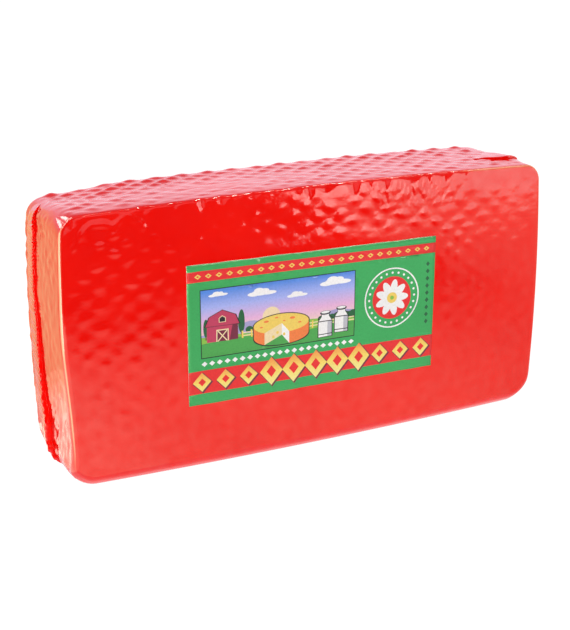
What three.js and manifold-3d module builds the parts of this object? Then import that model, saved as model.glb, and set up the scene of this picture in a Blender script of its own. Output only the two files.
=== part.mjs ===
// A small block of Gouda-type cheese, shrink-wrapped in glossy red film and standing on its long
// narrow side, with a rectangular label on its front. Millimetres, +Z up, front face towards -Y,
// origin at the middle of the base. Until the last lines the block is centred on the origin.

import * as THREE from 'three';
import { mergeVertices } from 'three/addons/utils/BufferGeometryUtils.js';
import Module from 'manifold-3d';

// The block, measured along its edges, before its faces bow out
const LENGTH = 287.4;
const DEPTH = 65;
const HEIGHT = 147;

// The outline's corners, seen from the front, and the roundings from it onto the two large faces.
// These grow down the ends, and are widest along the base.
const TOP_CORNER_RADIUS = 9;
const BASE_CORNER_RADIUS = 14;
const TOP_EDGE_RADIUS = 1.4;
const SIDE_EDGE_RADIUS = 4;
const BASE_EDGE_RADIUS = 10;
const BASE_EDGE_RISE = 18;  // over how much of the height the base's rounding narrows to the sides'

// How far the middle of each face stands proud of its edges
const END_CROWN = 2.2;
const TOP_CROWN = 2.2;
const FACE_CROWN = 0.8;
const BASE_SETTLE = 0.9;    // what the weight presses flat of the base's crown
const TOP_NARROWING = 3;    // how much shorter the block is along its top than along its base

// How far the top's far edge has sunk, more towards the left and most at its left corner, and the
// stretches over which it goes down
const SINKING = [
  { depth: 0.9, leftwards: [-80, 20], backwards: [-18, 25] },
  { depth: 1.9, leftwards: [90, 122], backwards: [-18, 25] },
  { depth: 1, leftwards: [122, 144], backwards: [5, 31] },
];
const SINKING_FROM_Z = 30;
const SINKING_TO_Z = 70;
const LEFT_TUCK = 2.2;      // how far the left end's front edge bends in, low down

// The cheese mould's net leaves low staggered domes. Their pitch is from one peak to the next in a
// row, and one peak lies at the phase.
const DOMES = {
  x: { pitch: 15.1, phase: 5.3 },
  y: { pitch: 12, phase: 6.3 },
  z: { pitch: 10.7, phase: -1.5 },
};
const DOME_HEIGHT = 0.9;

// Distances in from the edges of the grid lines that follow the roundings
const CORNER_INSETS = [0, 3, 8, BASE_CORNER_RADIUS];
const TOP_INSETS = [0, 2.5, 5.5, TOP_CORNER_RADIUS];
const EDGE_INSETS = [0, 1.5, 6];
const CLOSEST_LINES = 0.4;  // of half a pitch, between a rounding's last line and the first dome's

// The bag's sealed seam: a lip of film up each end, folded forward with its free edge lifted
const LIP_ROOT_Y = 22;
const LIP_EDGE_Y = 11.5;
const LIP_THICKNESS = 0.8;
const LIP_LIFT = 1.1;       // clear height under the free edge
const LIP_BURIED = 1.2;     // how deep its root reaches into the block
const LIP_STEP = 8;         // between the lip's cross-sections
const CRUMPLE_RISE = 1.6;   // the crumpled lower end of the lip
const CRUMPLE_AT = 60;      // below mid-height
const CRUMPLE_SPREAD = 5;

// The seam's upper end folds over onto the top as a pointed ear: long at the right, short at the left
const EARS = {
  left: { length: 0.5, frontY: 6, lift: 1 },
  right: { length: 24, frontY: -14, lift: 1.8 },
};
const EAR_TIP_Y = 4;
const EAR_TIP_WIDTH = 3;

// The label, tilted a little on the front
const LABEL_WIDTH = 150;
const LABEL_HEIGHT = 77.4;
const LABEL_THICKNESS = 0.3;
const LABEL_X = -3;
const LABEL_ABOVE_MIDDLE = 1.6;
const LABEL_TILT = THREE.MathUtils.degToRad(-0.7);
const LABEL_COLUMNS = 8;
const LABEL_ROWS = 6;
const GAP = 0.3;            // between the domes' peaks and the label

const halfX = LENGTH / 2;
const halfY = DEPTH / 2;
const halfZ = HEIGHT / 2;
const HALF = { x: halfX, y: halfY, z: halfZ };
const baseZ = -halfZ - TOP_CROWN + BASE_SETTLE;
const { lerp, smoothstep } = THREE.MathUtils;

const wasm = await Module();
wasm.setup();

// ---- The bowed, rounded form, from points on a sharp-cornered box ----

const cornerRadius = (z) => (z > 0 ? TOP_CORNER_RADIUS : BASE_CORNER_RADIUS);
const edgeRadius = (z) => (
  lerp(SIDE_EDGE_RADIUS, TOP_EDGE_RADIUS, (z + halfZ) / HEIGHT)
  + (BASE_EDGE_RADIUS - SIDE_EDGE_RADIUS) * (1 - smoothstep(z + halfZ, 0, BASE_EDGE_RISE))
);

// How much of the way to a corner's square a point keeps, so that the square's far sides fall on an
// arc.
const arcScale = (u, v) => (Math.hypot(u, v) > 0 ? Math.max(u, v) / Math.hypot(u, v) : 1);

// Rounds the outline's corners and gives the point's depth inside it, with the way out from there.
function roundOutline(x, z) {
  const signX = Math.sign(x);
  const signZ = Math.sign(z);
  const radius = cornerRadius(z);
  const u = Math.max(Math.abs(x) - halfX + radius, 0);
  const v = Math.max(Math.abs(z) - halfZ + radius, 0);
  const pull = 1 - arcScale(u, v);
  const at = { x: x - signX * u * pull, z: z - signZ * v * pull };
  if (u > 0 && v > 0) {
    const reach = Math.hypot(u, v);
    return { ...at, depth: radius - Math.max(u, v), out: [signX * u / reach, signZ * v / reach] };
  }
  const depthX = halfX - Math.abs(x);
  const depthZ = halfZ - Math.abs(z);
  if (depthX < depthZ) return { ...at, depth: depthX, out: [signX, 0] };
  return { ...at, depth: depthZ, out: [0, signZ] };
}

function sunk({ x, y, z }) {
  let depth = 0;
  for (const { depth: full, leftwards, backwards } of SINKING) {
    depth += full * smoothstep(-x, ...leftwards) * smoothstep(y, ...backwards);
  }
  return depth * smoothstep(z, SINKING_FROM_Z, SINKING_TO_Z);
}

function tucked({ x, y, z }) {
  const low = smoothstep(-z, -20, 40) * (1 - 0.8 * smoothstep(-z, 48, halfZ));
  return LEFT_TUCK * low * smoothstep(-x, halfX / 2, halfX) * smoothstep(-y, -4, 28);
}

function crown({ x, y, z }) {
  const alongX = 1 - (x / halfX) ** 2;
  const alongZ = 1 - (z / halfZ) ** 2;
  const narrower = 1 - TOP_NARROWING / LENGTH * (z + halfZ) / HEIGHT;
  return new THREE.Vector3(
    x * (1 + END_CROWN / halfX * alongZ) * narrower + tucked({ x, y, z }),
    y * (1 + FACE_CROWN / halfY * alongZ),
    z * (1 + TOP_CROWN / halfZ * alongX) - sunk({ x, y, z }),
  );
}

function form(x, y, z) {
  const outline = roundOutline(x, z);
  const radius = edgeRadius(outline.z);
  const inFromWall = Math.max(radius - outline.depth, 0);
  const inFromFace = Math.max(Math.abs(y) - halfY + radius, 0);
  const pull = 1 - arcScale(inFromWall, inFromFace);
  return crown({
    x: outline.x - outline.out[0] * inFromWall * pull,
    y: y - Math.sign(y) * inFromFace * pull,
    z: outline.z - outline.out[1] * inFromWall * pull,
  });
}

// The grid lines across one dimension: those of the roundings at both ends and, between them, one
// every half pitch through the domes' peaks, which has a number.
function gridLines(axis, lowInsets, highInsets) {
  const half = HALF[axis];
  const halfPitch = DOMES[axis].pitch / 2;
  const low = lowInsets.map((inset) => ({ at: inset - half }));
  const high = highInsets.map((inset) => ({ at: half - inset })).reverse();
  const first = Math.ceil((low.at(-1).at - DOMES[axis].phase) / halfPitch + CLOSEST_LINES);
  const last = Math.floor((high[0].at - DOMES[axis].phase) / halfPitch - CLOSEST_LINES);
  const middle = [];
  for (let number = first; number <= last; number += 1) {
    middle.push({ at: DOMES[axis].phase + number * halfPitch, number });
  }
  return [...low, ...middle, ...high];
}

const LINES = {
  x: gridLines('x', CORNER_INSETS, CORNER_INSETS),
  y: gridLines('y', EDGE_INSETS, EDGE_INSETS),
  z: gridLines('z', CORNER_INSETS, TOP_INSETS),
};

const FACES = [
  { u: 'x', v: 'z', normal: 'y', sign: -1, domed: true },    // front
  { u: 'x', v: 'z', normal: 'y', sign: 1, domed: true },     // back
  { u: 'x', v: 'y', normal: 'z', sign: 1, domed: true },     // top
  { u: 'x', v: 'y', normal: 'z', sign: -1, domed: false },   // base, pressed flat
  { u: 'y', v: 'z', normal: 'x', sign: -1, domed: false },   // left end, stretched smooth
  { u: 'y', v: 'z', normal: 'x', sign: 1, domed: false },    // right end
];

const isPeak = (lineU, lineV) => (lineU.number + lineV.number) % 2 === 0;

// One side of the block as a grid of points, with a dome's peak on every second one.
function facePoints(face) {
  return LINES[face.u].map((lineU) => LINES[face.v].map((lineV) => {
    const at = { [face.u]: lineU.at, [face.v]: lineV.at, [face.normal]: face.sign * HALF[face.normal] };
    const point = form(at.x, at.y, at.z);
    if (face.domed && isPeak(lineU, lineV)) point[face.normal] += face.sign * DOME_HEIGHT;
    point.z = Math.max(point.z, baseZ);
    return point;
  }));
}

function addTriangle(positions, a, b, c) {
  for (const corner of [a, b, c]) positions.push(corner.x, corner.y, corner.z);
}

function weld(positions) {
  const loose = new THREE.BufferGeometry();
  loose.setAttribute('position', new THREE.Float32BufferAttribute(positions, 3));
  return mergeVertices(loose, 1e-3);
}

function blockGeometry() {
  const positions = [];
  for (const face of FACES) {
    const grid = facePoints(face);
    const facesOut = (face.sign > 0) === (face.normal !== 'y');
    for (let i = 0; i + 1 < grid.length; i += 1) {
      for (let j = 0; j + 1 < grid[i].length; j += 1) {
        // the ring starts at a low point, so that the cut across joins low points and each dome is
        // a closed pyramid
        const ring = [grid[i + 1][j], grid[i + 1][j + 1], grid[i][j + 1], grid[i][j]];
        if (!isPeak(LINES[face.u][i], LINES[face.v][j])) ring.push(ring.shift());
        if (!facesOut) [ring[1], ring[3]] = [ring[3], ring[1]];
        addTriangle(positions, ring[0], ring[1], ring[2]);
        addTriangle(positions, ring[0], ring[2], ring[3]);
      }
    }
  }
  return weld(positions);
}

// ---- The seam's lip and its ear ----

// A place on the wall round the block, by its distance up from the right end's middle.
function wallAt(distance) {
  const up = Math.sign(distance);
  const run = Math.abs(distance);
  const radius = cornerRadius(distance);
  const straight = halfZ - radius;
  const quarter = radius * Math.PI / 2;
  if (run <= straight) return { x: halfX, z: distance, out: [1, 0] };
  if (run >= straight + quarter) {
    return { x: halfX - radius - (run - straight - quarter), z: up * halfZ, out: [0, up] };
  }
  const angle = (run - straight) / radius;
  const out = [Math.cos(angle), up * Math.sin(angle)];
  return { x: halfX - radius * (1 - out[0]), z: up * straight + radius * out[1], out };
}

// The lip's front and rear edges and its lift at one distance up the wall.
function lipAt(distance, ear) {
  const ontoTop = halfZ - TOP_CORNER_RADIUS;
  const crumple = CRUMPLE_RISE * Math.exp(-(((distance + CRUMPLE_AT) / CRUMPLE_SPREAD) ** 2));
  if (distance <= ontoTop) return { front: LIP_EDGE_Y, rear: LIP_ROOT_Y, lift: LIP_LIFT + crumple };
  const along = (distance - ontoTop) / (TOP_CORNER_RADIUS * Math.PI / 2 + ear.length);
  const spread = Math.sin(Math.PI * Math.min(along * 1.6, 1));
  const straightFront = lerp(LIP_EDGE_Y, EAR_TIP_Y - EAR_TIP_WIDTH, along);
  return {
    front: lerp(straightFront, ear.frontY, spread),
    rear: lerp(LIP_ROOT_Y, EAR_TIP_Y, Math.sqrt(along)),
    lift: lerp(LIP_LIFT, ear.lift, spread),
  };
}

function lipGeometry(ear, side) {
  const lowest = BASE_CORNER_RADIUS / 2 - halfZ;
  const highest = halfZ - TOP_CORNER_RADIUS * (1 - Math.PI / 2) + ear.length;
  const steps = Math.round((highest - lowest) / LIP_STEP);
  const rings = [];
  for (let k = 0; k <= steps; k += 1) {
    const distance = lerp(lowest, highest, k / steps);
    const { front, rear, lift } = lipAt(distance, ear);
    const wall = wallAt(distance);
    const middle = (front + rear) / 2;
    const section = [
      [rear, -LIP_BURIED], [rear, 0], [middle, lift * 0.8 + LIP_THICKNESS], [front, lift + LIP_THICKNESS],
      [front, lift], [middle, lift * 0.2], [(middle + rear) / 2, -LIP_BURIED],
    ];
    rings.push(section.map(([y, height]) => {
      const foot = crown({ x: side * wall.x, y, z: wall.z });
      return new THREE.Vector3(foot.x + side * wall.out[0] * height, y, foot.z + wall.out[1] * height);
    }));
  }
  const positions = [];
  const place = (a, b, c) => (side > 0 ? addTriangle(positions, a, b, c) : addTriangle(positions, a, c, b));
  const count = rings[0].length;
  for (let k = 0; k < steps; k += 1) {
    for (let i = 0; i < count; i += 1) {
      const next = (i + 1) % count;
      place(rings[k][i], rings[k + 1][i], rings[k + 1][next]);
      place(rings[k][i], rings[k + 1][next], rings[k][next]);
    }
  }
  const corners = rings[0].map((point) => new THREE.Vector2(point.y, Math.abs(point.x)));
  for (const [a, b, c] of THREE.ShapeUtils.triangulateShape(corners, [])) {
    place(rings[0][a], rings[0][b], rings[0][c]);
    place(rings[steps][a], rings[steps][c], rings[steps][b]);
  }
  return weld(positions);
}

function toSolid(geometry) {
  return new wasm.Manifold(new wasm.Mesh({
    numProp: 3,
    vertProperties: geometry.attributes.position.array,
    triVerts: new Uint32Array(geometry.index.array),
  }));
}

function toGeometry(solid) {
  const mesh = solid.getMesh();
  const geometry = new THREE.BufferGeometry();
  geometry.setAttribute('position', new THREE.Float32BufferAttribute(mesh.vertProperties, 3));
  geometry.setIndex(new THREE.Uint32BufferAttribute(mesh.triVerts, 1));
  geometry.computeVertexNormals();
  return geometry;
}

function wrappedBlock() {
  const leftLip = toSolid(lipGeometry(EARS.left, -1));
  const rightLip = toSolid(lipGeometry(EARS.right, 1));
  return toGeometry(toSolid(blockGeometry()).add(leftLip).add(rightLip));
}

// ---- The label ----

// A thin sheet from a box's grid of points, bowed as the face under it is.
function labelGeometry() {
  const size = [LABEL_WIDTH, LABEL_THICKNESS, LABEL_HEIGHT];
  const sheet = new THREE.BoxGeometry(...size, LABEL_COLUMNS, 1, LABEL_ROWS);
  sheet.deleteAttribute('normal');
  sheet.deleteAttribute('uv');
  sheet.rotateY(-LABEL_TILT);
  sheet.translate(LABEL_X, -(DOME_HEIGHT + GAP + LABEL_THICKNESS / 2), LABEL_ABOVE_MIDDLE);
  const points = sheet.attributes.position;
  const point = new THREE.Vector3();
  for (let i = 0; i < points.count; i += 1) {
    point.fromBufferAttribute(points, i);
    const face = crown({ x: point.x, y: -halfY, z: point.z });
    points.setY(i, point.y + face.y);
  }
  return mergeVertices(sheet, 1e-3);
}

// ---- The object ----

const FILM = new THREE.MeshStandardMaterial({ color: 0xe0201a, roughness: 0.15, metalness: 0 });
const LABEL = new THREE.MeshStandardMaterial({ color: 0x3fae68, roughness: 0.45, metalness: 0 });

function part(name, geometry, material) {
  const mesh = new THREE.Mesh(geometry, material);
  mesh.name = name;
  return mesh;
}

const group = new THREE.Group();
group.add(part('cheese_block', wrappedBlock(), FILM));
group.add(part('label', labelGeometry(), LABEL));

// the origin moves to the middle of the base of the box round the whole
const bounds = new THREE.Box3().setFromObject(group);
group.position.set(-(bounds.min.x + bounds.max.x) / 2, -(bounds.min.y + bounds.max.y) / 2, -bounds.min.z);

export default group;
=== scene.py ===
"""The looks of a shrink-wrapped block of cheese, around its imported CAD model.

Shapes are worked out in millimetres about the block's middle, with the front towards -Y, as in the
CAD source, and go into Blender in metres at the block's place in the frame.
"""

import math

import bpy
import numpy as np
from mathutils import Matrix, Vector
from mathutils.geometry import delaunay_2d_cdt


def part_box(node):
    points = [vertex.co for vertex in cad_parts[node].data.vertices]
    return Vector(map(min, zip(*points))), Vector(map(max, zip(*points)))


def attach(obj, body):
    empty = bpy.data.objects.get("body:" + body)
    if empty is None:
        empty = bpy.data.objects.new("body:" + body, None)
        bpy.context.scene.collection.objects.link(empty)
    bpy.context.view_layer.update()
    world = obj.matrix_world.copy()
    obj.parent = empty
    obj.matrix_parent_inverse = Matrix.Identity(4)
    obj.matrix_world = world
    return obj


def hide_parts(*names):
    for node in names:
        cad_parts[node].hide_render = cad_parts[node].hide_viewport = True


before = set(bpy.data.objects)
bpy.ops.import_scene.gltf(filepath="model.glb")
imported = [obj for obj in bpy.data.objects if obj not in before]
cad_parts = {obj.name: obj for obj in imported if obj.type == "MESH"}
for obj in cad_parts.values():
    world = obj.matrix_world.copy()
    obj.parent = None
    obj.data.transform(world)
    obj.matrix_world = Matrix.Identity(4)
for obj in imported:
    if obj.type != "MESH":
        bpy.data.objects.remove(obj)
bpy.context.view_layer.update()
MM = 0.001

# ---- Driving dimensions, as in the CAD source ----

LENGTH, DEPTH, HEIGHT = 287.4, 65.0, 147.0
HALF_X, HALF_Y, HALF_Z = LENGTH / 2, DEPTH / 2, HEIGHT / 2
TOP_CORNER_RADIUS, BASE_CORNER_RADIUS = 9.0, 14.0
TOP_EDGE_RADIUS, SIDE_EDGE_RADIUS, BASE_EDGE_RADIUS, BASE_EDGE_RISE = 1.4, 4.0, 10.0, 18.0
END_CROWN, TOP_CROWN, FACE_CROWN, BASE_SETTLE = 2.2, 2.2, 0.8, 0.9
TOP_NARROWING = 3.0
# How far the top's far edge has sunk, and the stretches leftwards and backwards of each sinking
SINKING = [(0.9, (-80, 20), (-18, 25)), (1.9, (90, 122), (-18, 25)), (1.0, (122, 144), (5, 31))]
SINKING_Z = (30, 70)
LEFT_TUCK = 2.2                 # how far the left end's front edge bends in, low down
# The stretches over which that bend comes and goes downwards, and comes leftwards and forwards
TUCK_BEGINS, TUCK_ENDS = (-20, 40), (48, HALF_Z)
TUCK_LEFTWARDS, TUCK_FORWARDS = (HALF_X / 2, HALF_X), (-4, 28)
TUCK_LOST = 0.8                 # the share of the bend that is gone again at the base
BASE_Z = -HALF_Z - TOP_CROWN + BASE_SETTLE
DOME_PITCH = {"x": 15.1, "y": 12.0, "z": 10.7}
DOME_PEAK = {"x": 5.3, "y": 6.3, "z": -1.5}

LOWEST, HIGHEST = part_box("cheese_block")
MIDDLE = Vector(((LOWEST.x + HIGHEST.x) / 2, (LOWEST.y + HIGHEST.y) / 2, LOWEST.z - BASE_Z * MM))

SEED = 7


def put_in_scene(name, data):
    piece = bpy.data.objects.new(name, data)
    bpy.context.scene.collection.objects.link(piece)
    return piece


# ---- The camera ----

CAMERA_PLACE = Vector((-293.1, -602.0, 215.7)) * MM
CAMERA_RIGHT = Vector((0.90148, -0.43277, -0.00709))
CAMERA_AHEAD = Vector((0.40874, 0.85659, -0.31494))
CAMERA_LENS, CAMERA_SENSOR = 70.42, 36.0    # in millimetres
CAMERA_REACH = 50                           # how far it sees, in metres


def make_camera():
    data = bpy.data.cameras.new("camera")
    data.lens = CAMERA_LENS
    data.sensor_width = CAMERA_SENSOR
    data.clip_end = CAMERA_REACH
    camera = put_in_scene("camera", data)
    up = CAMERA_RIGHT.cross(CAMERA_AHEAD)
    turn = Matrix((CAMERA_RIGHT, up, -CAMERA_AHEAD)).transposed().to_4x4()
    camera.matrix_world = Matrix.Translation(MIDDLE + CAMERA_PLACE) @ turn
    bpy.context.scene.camera = camera


make_camera()


# ---- Helpers for shapes ----

def smooth(value, start, end):
    """0 before start, 1 after end, and a smooth rise between them."""
    t = np.clip((value - start) / (end - start), 0, 1)
    return t * t * (3 - 2 * t)


def bell(value, middle, width):
    return np.exp(-(((value - middle) / width) ** 2))


def spaced(start, end, step):
    """Even values from start to end, about a step apart."""
    return np.linspace(start, end, max(int(round((end - start) / step)), 1) + 1)


LATTICE_SIZE = 256
LATTICE = np.random.default_rng(SEED).permutation(LATTICE_SIZE)
KIND_STEP = 37              # how many of the lattice's rows apart two kinds of noise are


def noise(x, y, kind=0):
    """Smooth noise from about -1 to 1, with features one unit across. Each kind is another pattern."""
    x, y = np.broadcast_arrays(x, y)
    cell_x, cell_y = np.floor(x).astype(int), np.floor(y).astype(int)
    in_x, in_y = x - cell_x, y - cell_y

    def corner(step_x, step_y):
        row = LATTICE[(cell_y + step_y + KIND_STEP * kind) % LATTICE_SIZE]
        angle = LATTICE[(cell_x + step_x + row) % LATTICE_SIZE] * (2 * math.pi / LATTICE_SIZE)
        return np.cos(angle) * (in_x - step_x) + np.sin(angle) * (in_y - step_y)

    fade_x = in_x ** 3 * (in_x * (in_x * 6 - 15) + 10)
    fade_y = in_y ** 3 * (in_y * (in_y * 6 - 15) + 10)
    near = corner(0, 0) * (1 - fade_x) + corner(1, 0) * fade_x
    far = corner(0, 1) * (1 - fade_x) + corner(1, 1) * fade_x
    return 1.6 * (near * (1 - fade_y) + far * fade_y)


def ridges(x, y, kind=0):
    """Noise with sharp ridges, from 0 to about 1."""
    return 1 - np.abs(noise(x, y, kind)) * 1.8


def make_mesh(name, points, faces):
    """A piece from points in millimetres about the block's middle."""
    data = bpy.data.meshes.new(name)
    placed = points * MM + np.array(MIDDLE)
    data.from_pydata(placed.tolist(), [], [list(map(int, face)) for face in faces])
    data.validate()
    data.polygons.foreach_set("use_smooth", [True] * len(data.polygons))
    data.update()
    return put_in_scene(name, data)


def put_attribute(piece, name, values):
    attribute = piece.data.attributes.new(name, "FLOAT", "POINT")
    attribute.data.foreach_set("value", np.asarray(values, np.float32))


# ---- The block's bowed, rounded form ----

def corner_radius(z):
    return np.where(z > 0, TOP_CORNER_RADIUS, BASE_CORNER_RADIUS)


def edge_radius(z):
    height = z + HALF_Z
    upright = SIDE_EDGE_RADIUS + (TOP_EDGE_RADIUS - SIDE_EDGE_RADIUS) * height / HEIGHT
    return upright + (BASE_EDGE_RADIUS - SIDE_EDGE_RADIUS) * (1 - smooth(height, 0, BASE_EDGE_RISE))


def lost_share(u, v):
    """The share of its distances from a rounding's start that a point gives up to lie on the arc."""
    reach = np.hypot(u, v)
    return np.where(reach > 0, 1 - np.maximum(u, v) / np.maximum(reach, 1e-9), 0)


def sunk(points):
    """How far each point sinks with the top's far edge."""
    x, y, z = points.T
    depth = sum(full * smooth(-x, *leftwards) * smooth(y, *backwards)
                for full, leftwards, backwards in SINKING)
    return depth * smooth(z, *SINKING_Z)


def tucked(points):
    """How far each point moves inwards at the left end's lower front edge."""
    x, y, z = points.T
    low_down = smooth(-z, *TUCK_BEGINS) * (1 - TUCK_LOST * smooth(-z, *TUCK_ENDS))
    return LEFT_TUCK * low_down * smooth(-x, *TUCK_LEFTWARDS) * smooth(-y, *TUCK_FORWARDS)


def crown(points):
    """Where points of the straight, rounded block lie once its faces bow out and its corners bend."""
    along_x = 1 - (points[:, 0] / HALF_X) ** 2
    along_z = 1 - (points[:, 2] / HALF_Z) ** 2
    narrower = 1 - TOP_NARROWING / LENGTH * (points[:, 2] + HALF_Z) / HEIGHT
    bowed = points * np.stack([
        (1 + END_CROWN / HALF_X * along_z) * narrower,
        1 + FACE_CROWN / HALF_Y * along_z,
        1 + TOP_CROWN / HALF_Z * along_x,
    ], axis=1)
    bowed[:, 0] += tucked(points)
    bowed[:, 2] -= sunk(points)
    return bowed


def form(points):
    """Where points of the sharp-cornered box lie on the rounded block."""
    x, y, z = points.T
    sign_x, sign_y, sign_z = np.sign(x), np.sign(y), np.sign(z)
    radius = corner_radius(z)
    u = np.maximum(np.abs(x) - HALF_X + radius, 0)
    v = np.maximum(np.abs(z) - HALF_Z + radius, 0)
    lost = lost_share(u, v)
    in_corner = (u > 0) & (v > 0)
    reach = np.maximum(np.hypot(u, v), 1e-9)
    depth_x, depth_z = HALF_X - np.abs(x), HALF_Z - np.abs(z)
    depth = np.where(in_corner, radius - np.maximum(u, v), np.minimum(depth_x, depth_z))
    out_x = np.where(in_corner, sign_x * u / reach, np.where(depth_x < depth_z, sign_x, 0))
    out_z = np.where(in_corner, sign_z * v / reach, np.where(depth_x < depth_z, 0, sign_z))
    x, z = x - sign_x * u * lost, z - sign_z * v * lost
    rounding = edge_radius(z)
    in_wall = np.maximum(rounding - depth, 0)
    in_face = np.maximum(np.abs(y) - HALF_Y + rounding, 0)
    lost = lost_share(in_wall, in_face)
    inwards = in_wall * lost
    placed = crown(np.stack([x - out_x * inwards, y - sign_y * in_face * lost, z - out_z * inwards], axis=1))
    placed[:, 2] = np.maximum(placed[:, 2], BASE_Z)
    return placed


# ---- The label's place, which the film under it needs too ----

LABEL_WIDTH, LABEL_HEIGHT, LABEL_THICKNESS = 150.0, 77.4, 0.3
HALF_S, HALF_T = LABEL_WIDTH / 2, LABEL_HEIGHT / 2
LABEL_X, LABEL_ABOVE_MIDDLE = -3.0, 1.6
LABEL_TILT = math.radians(-0.7)
LABEL_COS, LABEL_SIN = math.cos(LABEL_TILT), math.sin(LABEL_TILT)
LABEL_HOLD = (0.3, 8)       # over which distances from the label the film goes from flat to loose


def to_label(x, z):
    """Places on the front in the label's own coordinates, from its middle."""
    dx, dz = x - LABEL_X, z - LABEL_ABOVE_MIDDLE
    return dx * LABEL_COS + dz * LABEL_SIN, -dx * LABEL_SIN + dz * LABEL_COS


def from_label(s, t):
    return (LABEL_X + s * LABEL_COS - t * LABEL_SIN,
            LABEL_ABOVE_MIDDLE + s * LABEL_SIN + t * LABEL_COS)


def inside_label(x, z):
    """1 on the label, and falling to 0 some way outside it."""
    s, t = to_label(x, z)
    outside = np.maximum(np.abs(s) - HALF_S, np.abs(t) - HALF_T)
    return 1 - smooth(outside, *LABEL_HOLD)


# ---- The film's relief ----

DOME_HEIGHT = {"front": 0.2, "back": 0.35, "top": 0.74, "ends": 0.15}
DOME_ROUNDNESS, FRONT_DOME_ROUNDNESS = 1.5, 2.2     # over 1, so that the film between domes lies flat
EDGE_FADE = {"front": (2, 11), "back": (2, 11), "ends": (3, 10)}    # from the edges, where domes begin
GROOVE_DEPTH = 0.3
CORNER_CUT, CORNER_CUT_REACH = 2.2, 16.0
# How far the domes' rows wander, how long and wide each wave is, and its kind of noise: along and
# across a face, and on the upright long faces also in short waves
WANDERING = [(0.9, 38, 30, 0)], [(0.7, 34, 26, 1)]
UPRIGHT_WANDERING = [(0.9, 38, 30, 0), (2.6, 17, 12, 8)], [(0.7, 34, 26, 1), (1.7, 15, 11, 9)]


def domes(a, b, kind):
    """The low domes between the crossing strings of the mould's net. They peak where a and b are both
    whole numbers, or both halfway."""
    sharpness = DOME_ROUNDNESS if kind else FRONT_DOME_ROUNDNESS
    return np.abs(np.cos(np.pi * (a + b)) * np.cos(np.pi * (a - b))) ** sharpness


def dome_field(along, across, along_axis, across_axis, kind):
    """Domes of uneven height on wandering rows."""
    wandering = UPRIGHT_WANDERING if along_axis + across_axis == "xz" else WANDERING
    drift_a, drift_b = (sum(amount * noise(along / length, across / width, kind + extra)
                            for amount, length, width, extra in waves) for waves in wandering)
    a = (along + drift_a - DOME_PEAK[along_axis]) / DOME_PITCH[along_axis]
    b = (across + drift_b - DOME_PEAK[across_axis]) / DOME_PITCH[across_axis]
    uneven = 1 + 0.65 * noise(along / 11, across / 9, kind + 2)
    uneven = uneven + 0.4 * noise(along / 45, across / 30, kind + 3)
    return domes(a, b, kind) * np.clip(uneven, 0.05, 1.8)


# Pleats of spare film just below the top front edge: place along it, width, length, depth
PLEATS = [
    (-99, 9, 4.5, 0.9), (-83, 6, 4, 0.8), (-68, 6, 9, 1.3), (-57, 8, 5, 1.1), (-48, 5, 3, 0.6),
    (-39, 10, 4, 0.9), (-27, 6, 3, 0.8), (-14, 8, 4, 0.9), (-7, 6, 8, 1.2), (3, 18, 4.5, 1.2),
    (20, 10, 8, 1.5), (30, 5, 5, 0.8), (40, 8, 7, 1.3), (56, 19, 4.5, 1.1), (67, 6, 6, 0.8),
    (78, 14, 5.5, 1.2), (91, 9, 4, 0.7),
]


def pleats(x, down):
    """Small tapering dents that run down the front from its top edge."""
    total = np.zeros_like(x)
    for place, width, length, depth in PLEATS:
        along = np.clip(down / length, -0.25, 1)
        half = width / 2 * (1 - 0.8 * np.clip(along, 0, 1))
        side = np.clip(1 - np.abs(x - place - 0.12 * down) / half, 0, 1)
        total = np.maximum(total, depth * side * (1 - along) * smooth(down, -1.5, 1.0))
    return total


def crumple(x, down):
    """The fan of fine wrinkles where the bag's spare film is gathered, right of the middle."""
    area = smooth(x, 22, 42) * (1 - smooth(x, 80, 100)) * smooth(down, 0.5, 3) * (1 - smooth(down, 10, 26))
    lean = 0.5 * (x - 62) / 30
    across = x + lean * down
    fine = ridges(across / 3.4, down / 7, 11) + 0.7 * ridges(across / 2.2 + 5, down / 4, 12)
    coarse = noise(x / 7, down / 8, 13)
    return area * (0.13 * fine + 0.08 * coarse)


def wavy_fold(x, z):
    """A soft fold at the front's upper left: up from the side, along, and down in a wave."""
    course = 67.5 - 2.6 * np.cos((x + 117) * 2 * math.pi / 17) * smooth(x, -122, -114)
    course = course - 0.09 * np.clip(-126 - x, 0, 30) ** 2
    along = smooth(x, -141, -134) * (1 - smooth(x, -102, -97))
    return along * bell(z, course, 2.1)


def front_relief(x, z):
    down = HALF_Z - z
    edge = np.minimum(HALF_X - np.abs(x), HALF_Z - np.abs(z))
    calm = smooth(edge, *EDGE_FADE["front"]) * (1 - 0.5 * smooth(-z, 20, 60) * smooth(x, -90, -60))
    calm = calm * (1 + 0.6 * smooth(-x, 70, 95)) * (1 - 0.4 * smooth(x, 85, 110))
    spots = dome_field(x, z, "x", "z", 0) * DOME_HEIGHT["front"] * calm
    slow = 0.35 * noise(x / 55, z / 40, 5) * smooth(edge, 0, 25)
    slant = 0.1 * noise((x + 0.8 * z) / 8, z / 5.5, 6) * smooth(-x, 40, 80) * smooth(edge, 4, 14)
    loose = spots + slow + slant + 0.45 * wavy_fold(x, z) + crumple(x, down) - pleats(x, down)
    return loose * (1 - inside_label(x, z)) - corner_cut(HALF_X + x, down)


def ear_swelling(past_corner, y):
    """The film's swelling beside the ear, over the top's right corner."""
    return 1.7 * bell(past_corner, 3, 9) * bell(y, -9, 10)


def seam_dent(past_corner, y):
    """The dent above the left seam, over the top's corner."""
    return -1.0 * bell(past_corner, -1.5, 1.8) * bell(y, 11.5, 1.6)


def corner_cut(first, second):
    """How much blunter the front's upper left corner is, by the distances from it along a face."""
    return CORNER_CUT * np.clip(1 - (first + second) / CORNER_CUT_REACH, 0, 1) ** 2


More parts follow.
